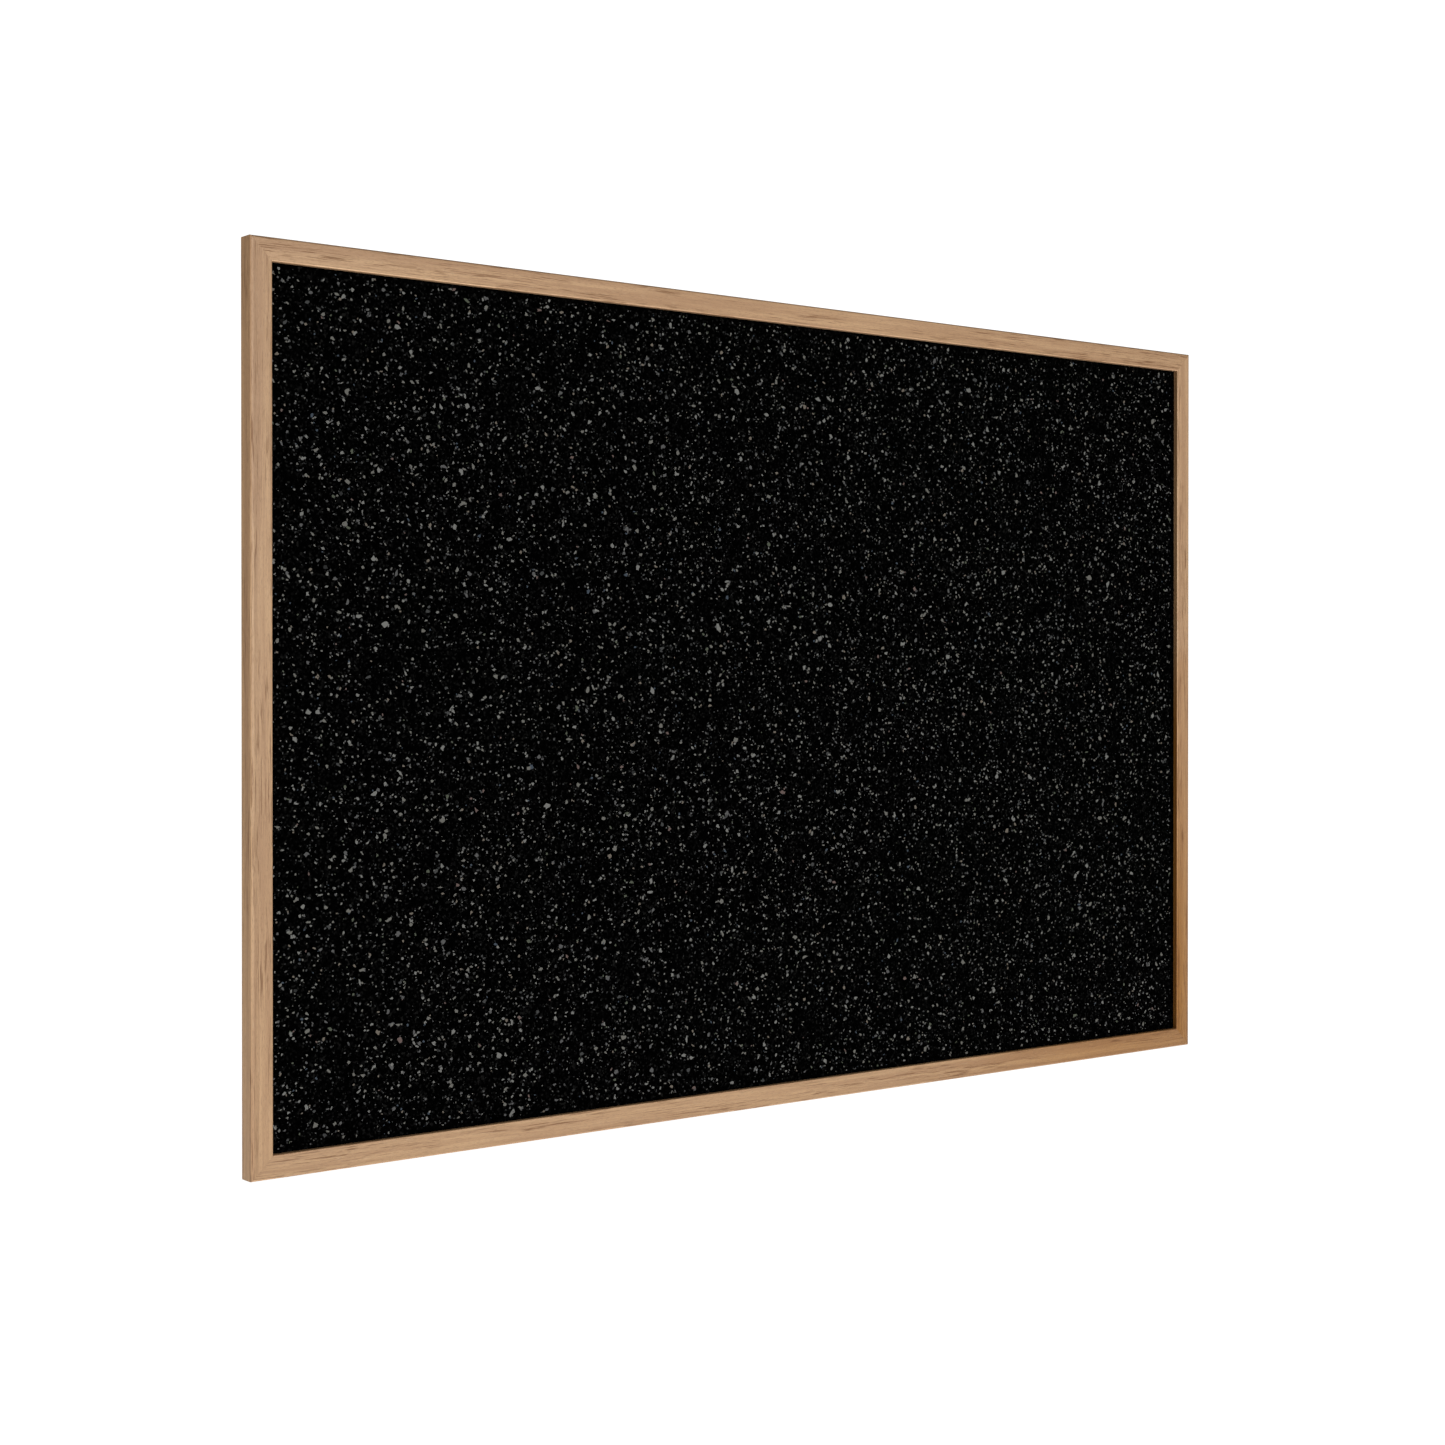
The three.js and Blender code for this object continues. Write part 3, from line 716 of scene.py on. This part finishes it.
def fibres(name, light, dark, speck, size, lie, roughness):
    """Felted fibres of this size in the sheet, lie times longer one way than the other, with faint
    clouds 200 fibres across and a few darker specks of bark."""
    material, tree, shader = add_material(name)
    place = add_node(tree, "ShaderNodeTexCoord").outputs["Object"]
    along = add_node(
        tree, "ShaderNodeMapping", {"Vector": place, "Scale": (1 / (size * lie), 1 / size, 1 / size)}
    )
    felt = add_node(
        tree, "ShaderNodeTexNoise", {"Vector": along.outputs[0], "Scale": 1, "Detail": 6, "Distortion": 1.2}
    )
    clouds = add_node(tree, "ShaderNodeTexNoise", {"Vector": place, "Scale": 0.005 / size, "Detail": 3})
    felted = add_node(
        tree,
        "ShaderNodeMath",
        {0: clouds.outputs[0], 1: 0.5, 2: felt.outputs[0]},
        operation="MULTIPLY_ADD",
    ).outputs[0]
    contrast = add_node(tree, "ShaderNodeMapRange", {"Value": felted, "From Min": 0.5, "From Max": 1})
    colour = add_node(
        tree,
        "ShaderNodeMix",
        {0: contrast.outputs[0], 6: srgb(dark), 7: srgb(light)},
        data_type="RGBA",
    ).outputs[2]
    bark = add_node(tree, "ShaderNodeTexNoise", {"Vector": place, "Scale": 0.7 / size, "Detail": 1})
    specks = add_node(
        tree, "ShaderNodeMapRange", {"Value": bark.outputs[0], "From Min": 0.73, "From Max": 0.78}
    )
    colour = add_node(
        tree, "ShaderNodeMix", {0: specks.outputs[0], 6: colour, 7: srgb(speck)}, data_type="RGBA"
    ).outputs[2]
    tree.links.new(colour, shader.inputs["Base Color"])
    relief = add_node(
        tree, "ShaderNodeBump", {"Height": felt.outputs[0], "Distance": 0.05 * mm, "Strength": 0.5}
    )
    tree.links.new(relief.outputs[0], shader.inputs["Normal"])
    shader.inputs["Roughness"].default_value = roughness
    return material


# Pressed hot, the fibre looks dark brown and dense, with a dull shine.
hardboard = fibres("hardboard_pressed_and_sawn", "#8c6a47", "#5e432c", "#3b2a1c", 0.5 * mm, 3, 0.7)
core = layer("core", *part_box("core_board"), 0.4 * mm, 0.3 * mm, 5)
take_over("core", core, "core_board", hardboard)

# ---------------------------------------------------------------- Kraft backing
# Brown kraft paper laminate glued to the core's back, so that the panel doesn't bow. It has taken
# up a little damp and cockled between the edges, where the stops hold it flat.

# Kraft laminate looks like stout brown paper: short fibres all lying one way, cloudy and half matt.
kraft = fibres("kraft_laminate_glued_and_cockled", "#bd9d74", "#a5845c", "#8a6a46", 0.35 * mm, 6, 0.55)
kraft_low, kraft_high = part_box("backing_sheet")
held_flat = 60 * mm
under_stop = 8 * mm
cockle_height = 1.1 * mm
cockle_columns, cockle_rows = 90, 60


def cockle(x, z):
    """How far the laminate stands off the core here, in crossed swells 0.5 to 0.7 m long."""
    margin = min(x - kraft_low[0], kraft_high[0] - x, z - kraft_low[2], kraft_high[2] - z)
    wave = math.sin(9.1 * x + 2.2 * math.sin(5.3 * z)) * math.sin(11.7 * z + 1.7 * math.sin(4.1 * x + 1.3))
    return cockle_height * float(ease(margin, under_stop, held_flat)) * (0.5 + 0.5 * wave)


kraft_loops = []
kraft_z = np.linspace(kraft_low[2], kraft_high[2], cockle_rows)
for x in np.linspace(kraft_low[0], kraft_high[0], cockle_columns):
    front_face = [(x, kraft_low[1] + cockle(x, z), z) for z in kraft_z]
    back_face = [(x, kraft_high[1] + cockle(x, z), z) for z in kraft_z[::-1]]
    kraft_loops.append(front_face + back_face)
take_over("kraft_backing", skin("kraft_backing", kraft_loops), "backing_sheet", kraft)

# ---------------------------------------------------------------- Stops
# Strips of planed pine, chamfered along the corner that shows, pressed into the rebate behind the
# panel. The long ones run right through and the short ones fit between them.


def pine():
    """Fast-grown pine: pale yellow, shading to brown late growth every 13 mm, with fine straight
    fibres and a soft sheen."""
    material, tree, shader = add_material("pine_planed_and_left_raw")
    place = add_node(tree, "ShaderNodeTexCoord").outputs["Object"]
    slow = add_node(tree, "ShaderNodeMapping", {"Vector": place, "Scale": (4, 30, 30)})
    wander = add_node(tree, "ShaderNodeTexNoise", {"Vector": slow.outputs[0], "Scale": 1, "Detail": 2})
    bent = add_node(
        tree, "ShaderNodeVectorMath", {0: wander.outputs["Color"], 1: (0, 0.008, 0.008)}, operation="MULTIPLY"
    )
    grain = add_node(tree, "ShaderNodeVectorMath", {0: place, 1: bent.outputs[0]}).outputs[0]
    turned_log = add_node(tree, "ShaderNodeMapping", {"Vector": grain, "Rotation": (0.6, 0, 0)})
    rings = add_node(
        tree,
        "ShaderNodeTexWave",
        {"Vector": turned_log.outputs[0], "Scale": 24, "Distortion": 0.6, "Detail": 2},
        bands_direction="Z",
        wave_profile="SAW",
    )
    late = add_node(
        tree,
        "ShaderNodeMapRange",
        {"Value": rings.outputs["Fac"], "From Min": 0.45, "From Max": 1, "To Max": 0.8},
    )
    colour = add_node(
        tree,
        "ShaderNodeMix",
        {0: late.outputs[0], 6: srgb("#dcbf8f"), 7: srgb("#b78a55")},
        data_type="RGBA",
    ).outputs[2]
    fine = add_node(tree, "ShaderNodeMapping", {"Vector": grain, "Scale": (90, 1800, 1800)})
    fibre = add_node(tree, "ShaderNodeTexNoise", {"Vector": fine.outputs[0], "Scale": 1, "Detail": 2})
    faint = add_node(tree, "ShaderNodeMath", {0: fibre.outputs[0], 1: 0.3}, operation="MULTIPLY")
    colour = add_node(
        tree, "ShaderNodeMix", {0: faint.outputs[0], 6: colour, 7: srgb("#c79f6c")}, data_type="RGBA"
    ).outputs[2]
    tree.links.new(colour, shader.inputs["Base Color"])
    relief = add_node(
        tree, "ShaderNodeBump", {"Height": fibre.outputs[0], "Distance": 0.05 * mm, "Strength": 0.5}
    )
    tree.links.new(relief.outputs[0], shader.inputs["Normal"])
    shader.inputs["Roughness"].default_value = 0.6
    return material


planed_pine = pine()
stop_width = 9 * mm
stop_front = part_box("top_stop")[0][1]
stop_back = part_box("top_stop")[1][1]
stop_chamfer = 1.4 * mm
stop_edge = 0.25 * mm
stop_section = [
    (stop_edge, stop_front),
    (stop_width - stop_edge, stop_front),
    (stop_width, stop_front + stop_edge),
    (stop_width, stop_back - stop_chamfer),
    (stop_width - stop_chamfer, stop_back),
    (stop_edge, stop_back),
    (0, stop_back - stop_edge),
    (0, stop_front + stop_edge),
]
stop_from_edge = land + gap
middle_u, middle_y = stop_width / 2, (stop_front + stop_back) / 2
stops = {}
for name, _, place, quarter_turns, _ in members:
    side = name.split("_")[0]
    low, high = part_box(side + "_stop")
    stop_length = high[0] - low[0] if quarter_turns % 2 == 0 else high[2] - low[2]
    ends = ((-stop_length / 2, stop_edge), (-stop_length / 2 + stop_edge, 0))
    ends = (*ends, *((-x, inset) for x, inset in reversed(ends)))
    loops = []
    for x, inset in ends:
        thin = 1 - 2 * inset / (stop_back - stop_front)
        narrow = 1 - 2 * inset / stop_width
        loops.append(
            [
                (x, middle_y + (y - middle_y) * thin, -stop_from_edge - middle_u - (u - middle_u) * narrow)
                for u, y in stop_section
            ]
        )
    in_place = placed(place, quarter_turns)
    take_over(
        side + "_stop_strip", skin(side + "_stop_strip", loops), side + "_stop", planed_pine,
        place=in_place,
    )
    stops[side] = (in_place, stop_length)

# ---------------------------------------------------------------- Stop brads
# Bright steel brads, 18 mm, pinned sideways through each stop into the oak. The head keeps the
# slight dome and the gripper's rings from the machine that made it.


def turned(name, profile, sides=20):
    """A mesh turned about Z, from (radius, height) points in mm along it."""
    angles = np.linspace(0, 2 * np.pi, sides, endpoint=False)
    loops = []
    for r, h in profile:
        loops.append([(r * mm * math.cos(a), r * mm * math.sin(a), h * mm) for a in angles])
    return skin(name, loops)


# Wire drawn bright looks like clean grey steel, shinier than the plating.
bright_steel = plated_steel("steel_wire_drawn_bright", "#c9cacb", "#a2a4a6", 0.3, 5 * mm, 2 * mm)
grip_rings = []
for start in (1.6, 2.3, 3.0):
    grip_rings += [(0.6, start), (0.53, start + 0.1), (0.53, start + 0.25), (0.6, start + 0.35)]
brad_profile = [
    *((0.1, -0.6), (0.7, -0.57), (1.05, -0.45), (1.2, -0.28), (1.18, -0.08), (1.05, 0), (0.66, 0.05)),
    (0.6, 0.3),
    *grip_rings,
    *((0.6, 15.6), (0.45, 16.6), (0.06, 17.95)),
]
brad = turned("brad", brad_profile, 16)
for side, (in_place, stop_length) in stops.items():
    count = 4 if side in ("top", "bottom") else 3
    for i in range(count):
        along = ((i + 0.5) / count - 0.5) * stop_length
        at = placed((along, middle_y, -(stop_from_edge + stop_width + gap)))
        take_over(
            f"{side}_brad_{i + 1}", brad, f"{side}_stop_brad_{i + 1}", bright_steel,
            place=in_place @ at,
        )

# ---------------------------------------------------------------- Corner braces
# Flat L plates stamped from 2 mm steel, countersunk, tumbled smooth and zinc plated. They lie
# flush in housings cut across each mitre.

# Zinc over a stamped and tumbled plate looks bluish grey, softly clouded and satin.
zinc = plated_steel("zinc_plating_over_stamped_steel", "#b7bbbf", "#9399a0", 0.42, 14 * mm, 4 * mm)
stamped_edge = 0.25 * mm
brace_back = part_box("top_left_brace")[1][1]
brace_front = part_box("top_left_brace")[0][1]
brace_holes = [(30, -11), (11, -30), (62, -11), (11, -62)]
screw_cone = 1.7


def countersink(x, y, z):
    """A hole for a countersunk screw, open towards +Y, with the head's top at y."""
    shank, head = 2.05, 3.7
    hole = turned("hole", [(shank, -30), (shank, -screw_cone), (head, 0), (head + 0.01, 3)], 32)
    hole.transform(Matrix.Translation((x, y, z)) @ Matrix.Rotation(math.radians(-90), 4, "X"))
    return hole


brace_loops = [
    [(x, y, z) for x, z in brace_outline(extra)]
    for extra, y in (
        (-stamped_edge, brace_front),
        (0, brace_front + stamped_edge),
        (0, brace_back - stamped_edge),
        (-stamped_edge, brace_back),
    )
]
brace_plate = add_object("brace_plate", skin("corner_brace", brace_loops))
cut(brace_plate, [countersink(x * mm, brace_back, z * mm) for x, z in brace_holes])
brace_mesh = brace_plate.data
bpy.data.objects.remove(brace_plate)
corner_places = {
    "top_left": placed((left_edge, 0, top_edge), 0),
    "top_right": placed((right_edge, 0, top_edge), 1),
    "bottom_right": placed((right_edge, 0, bottom_edge), 2),
    "bottom_left": placed((left_edge, 0, bottom_edge), 3),
}
for corner, in_place in corner_places.items():
    take_over(corner + "_brace_plate", brace_mesh, corner + "_brace", zinc, place=in_place)

# ---------------------------------------------------------------- Screws
# Countersunk wood screws with a rolled thread and a cross recess, zinc plated: 16 mm in the
# braces and 19 mm in the hangers. Each was left turned to its own angle.


def wood_screw(name, length):
    """A screw with its head's top on Z = 0, then laid over so that the head faces +Y."""
    pitch, root, crest, neck_radius = 1.5, 1.2, 1.75, 1.35
    tip_length, run_out_length = 3, 1.2
    thread_top = -screw_cone - 0.22 * length
    angles = np.linspace(0, 2 * np.pi, 20, endpoint=False)
    loops = []
    for h in np.arange(-length, thread_top, pitch / 6):
        taper = min(1, (h + length) / tip_length)
        run_out = min(1, (thread_top - h) / run_out_length)
        turn = (h / pitch - angles / (2 * np.pi)) % 1
        ridge = np.clip(1 - np.abs(2 * turn - 1) / 0.45, 0, 1) * run_out
        reach = np.maximum(0.08, (root + (crest - root) * ridge) * taper)
        loops.append([(r * math.cos(a) * mm, r * math.sin(a) * mm, h * mm) for r, a in zip(reach, angles)])
    neck = [(neck_radius, thread_top), (neck_radius, -1.75)]
    head = [(3.25, -0.16), (3.38, -0.08), (3.34, -0.02), (3.2, 0)]
    for r, h in neck + head:
        loops.append([(r * math.cos(a) * mm, r * math.sin(a) * mm, h * mm) for a in angles])
    screw = add_object(name, skin(name, loops))
    arms = []
    for reach, half_width, h in ((0.9, 0.32, -1.3), (2.15, 0.52, 0.2)):
        quarter = [(reach, -half_width), (reach, half_width), (half_width, half_width)]
        outline = []
        for i in range(4):
            c, s = round(math.cos(i * math.pi / 2)), round(math.sin(i * math.pi / 2))
            outline += [((x * c - y * s) * mm, (x * s + y * c) * mm, h * mm) for x, y in quarter]
        arms.append(outline)
    cut(screw, [skin("recess", arms)])
    mesh = screw.data
    bpy.data.objects.remove(screw)
    mesh.transform(Matrix.Rotation(math.radians(-90), 4, "X"))
    return mesh


# On rolled and tumbled screws the same plating looks a little yellower and brighter.
plated_screw = plated_steel("zinc_plating_over_rolled_thread", "#cfd0cd", "#a9aaa6", 0.28, 4 * mm, 1.5 * mm)
brace_screw = wood_screw("brace_screw", 16)
hanger_screw = wood_screw("hanger_screw", 19)
left_as_turned = np.random.default_rng(41)


def add_screw(node, mesh, place):
    """Puts a screw in its hole, turned to the angle that it was left at."""
    spin = Matrix.Rotation(left_as_turned.uniform(0, math.pi / 2), 4, "Y")
    take_over(node + "_threaded", mesh, node, plated_screw, place=place @ spin)


for corner, in_place in corner_places.items():
    for i, (x, z) in enumerate(brace_holes):
        at = placed((x * mm, brace_back, z * mm))
        add_screw(f"{corner}_brace_screw_{i + 1}", brace_screw, in_place @ at)

# ---------------------------------------------------------------- Hanger straps
# Two-hole steel straps screwed to the backs of the stiles, stamped with a round lower end and
# curled at the top into an eye that the ring's bar lies in.

hanger_inset = 12.7 * mm
hanger_below_top = 200 * mm
strap_thickness = 1.2 * mm
strap_half_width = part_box("left_hanger_strap")[1][0] - (left_edge + hanger_inset)
strap_length = 44 * mm
strap_middle = gap + strap_thickness / 2
strap_back = gap + strap_thickness
strap_holes = {"upper": 11, "lower": 34}
wire_radius = 1.25 * mm
curl_radius = wire_radius + gap + strap_thickness / 2
curl_start = -3 * mm
pivot_y = strap_back + wire_radius + gap
pivot_z = top_edge - hanger_below_top


def strap_section(y, z, across_y, across_z, half_width):
    """The strap's section at a place on its middle line, its stamped edges eased."""
    t, w, e = strap_thickness / 2, half_width, min(0.2 * mm, half_width / 2)
    eased = [(-w + e, -t), (w - e, -t), (w, -t + e), (w, t - e)]
    eased += [(-x, -n) for x, n in eased]
    return [(x, y + n * across_y, z + n * across_z) for x, n in eased]


strap_loops = []
for angle in np.radians(np.linspace(6, 90, 12)):
    z = -strap_length + strap_half_width * (1 - math.cos(angle))
    strap_loops.append(strap_section(strap_middle, z, 1, 0, strap_half_width * math.sin(angle)))
strap_loops.append(strap_section(strap_middle, curl_start, 1, 0, strap_half_width))
for angle in np.radians(np.linspace(180, -20, 26)):
    c, s = math.cos(angle), math.sin(angle)
    y, z = pivot_y + curl_radius * c, curl_radius * s
    strap_loops.append(strap_section(y, z, -c, -s, strap_half_width))
strap_blank = add_object("strap_blank", skin("hanger_strap", strap_loops))
cut(strap_blank, [countersink(0, strap_back, -below * mm) for below in strap_holes.values()])
strap_mesh = strap_blank.data
bpy.data.objects.remove(strap_blank)
hangers = {"left": left_edge + hanger_inset, "right": right_edge - hanger_inset}
for side, x in hangers.items():
    in_place = placed((x, 0, pivot_z))
    take_over(side + "_strap", strap_mesh, side + "_hanger_strap", zinc, place=in_place)
    for which, below in strap_holes.items():
        at = placed((0, strap_back, -below * mm))
        add_screw(f"{side}_hanger_screw_{which}", hanger_screw, in_place @ at)

# ---------------------------------------------------------------- Hanger rings
# D rings bent from 2.5 mm wire and butted in the middle of the straight bar, inside the strap's
# eye, then nickel plated. They swing freely, and hang down flat on the straps.

ring_half_width = 8.9
ring_side = 8
ring_corner = 2
half_seam = 0.2
straight = ring_half_width - ring_corner
ring_path = [
    (half_seam, 0),
    (straight * 0.5, 0),
    *arc((straight, -ring_corner), ring_corner, 90, 0, 8),
    (ring_half_width, -ring_side * 0.6),
    *arc((0, -ring_side), ring_half_width, 0, -180, 40),
    (-ring_half_width, -ring_side * 0.6),
    *arc((-straight, -ring_corner), ring_corner, 180, 90, 8),
    (-straight * 0.5, 0),
    (-half_seam, 0),
]
ring_points = np.array(ring_path) * mm
heading = np.gradient(ring_points, axis=0)
heading /= np.linalg.norm(heading, axis=1)[:, None]
ring_loops = []
for (x, z), (dx, dz) in zip(ring_points, heading):
    loop = []
    for a in np.linspace(0, 2 * np.pi, 14, endpoint=False):
        out, up = wire_radius * math.cos(a), wire_radius * math.sin(a)
        loop.append((x - dz * out, up, z + dx * out))
    ring_loops.append(loop)
ring_mesh = skin("hanger_ring", ring_loops)
# Nickel over smooth wire looks warm and almost polished.
nickel = plated_steel("nickel_plating_over_bent_wire", "#d3cfc6", "#b3aea4", 0.2, 6 * mm, 3 * mm)
for side, x in hangers.items():
    take_over(
        side + "_ring", ring_mesh, side + "_hanger_ring", nickel, body=side + "_ring",
        place=placed((x, pivot_y, pivot_z)),
    )

# ---------------------------------------------------------------- Bumpers
# Moulded rubber bumpers, half an inch across, stuck low on the back of each stile. They keep the
# board parallel to the wall and its back off the paint.


def moulded_rubber():
    """Charcoal rubber with a fine spark-eroded mould texture and a little grey bloom on it."""
    material, tree, shader = add_material("rubber_moulded_with_a_fine_texture")
    place = add_node(tree, "ShaderNodeTexCoord").outputs["Object"]
    bloom = add_node(tree, "ShaderNodeTexNoise", {"Vector": place, "Scale": 260, "Detail": 4})
    colour = add_node(
        tree,
        "ShaderNodeMix",
        {0: bloom.outputs[0], 6: srgb("#19191a"), 7: srgb("#303031")},
        data_type="RGBA",
    ).outputs[2]
    tree.links.new(colour, shader.inputs["Base Color"])
    # The mould's texture is about 0.1 mm in real rubber, and is drawn nearly 0.3 mm so that it shows.
    texture = add_node(tree, "ShaderNodeTexNoise", {"Vector": place, "Scale": 3500, "Detail": 2})
    relief = add_node(
        tree, "ShaderNodeBump", {"Height": texture.outputs[0], "Distance": 0.05 * mm, "Strength": 0.6}
    )
    tree.links.new(relief.outputs[0], shader.inputs["Normal"])
    shader.inputs["Roughness"].default_value = 0.75
    shader.inputs["Specular IOR Level"].default_value = 0.4
    return material


bumper_low, bumper_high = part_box("left_bumper")
bumper_height = (bumper_high[1] - bumper_low[1]) / mm
bumper_edge = 1.2
edge_round = arc((5, bumper_height - bumper_edge), bumper_edge, 0, 80, 7)
bumper_profile = [
    *((0.4, 0), (6.2, 0), (6.34, 0.1), (6.34, 0.7), (6.24, 0.8), (6.22, 0.95)),
    *edge_round,
    *((r, bumper_height - dished) for r, dished in ((4.4, 0.01), (3.4, 0.12), (1.6, 0.2), (0.4, 0.22))),
]
bumper_mesh = turned("bumper", bumper_profile, 48)
bumper_mesh.transform(Matrix.Rotation(math.radians(-90), 4, "X"))
soft_rubber = moulded_rubber()
for side, x in hangers.items():
    z = (bumper_low[2] + bumper_high[2]) / 2
    take_over(
        side + "_bumper_moulding", bumper_mesh, side + "_bumper", soft_rubber,
        place=placed((x, bumper_low[1], z)),
    )

# ---------------------------------------------------------------- Finish
low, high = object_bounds()
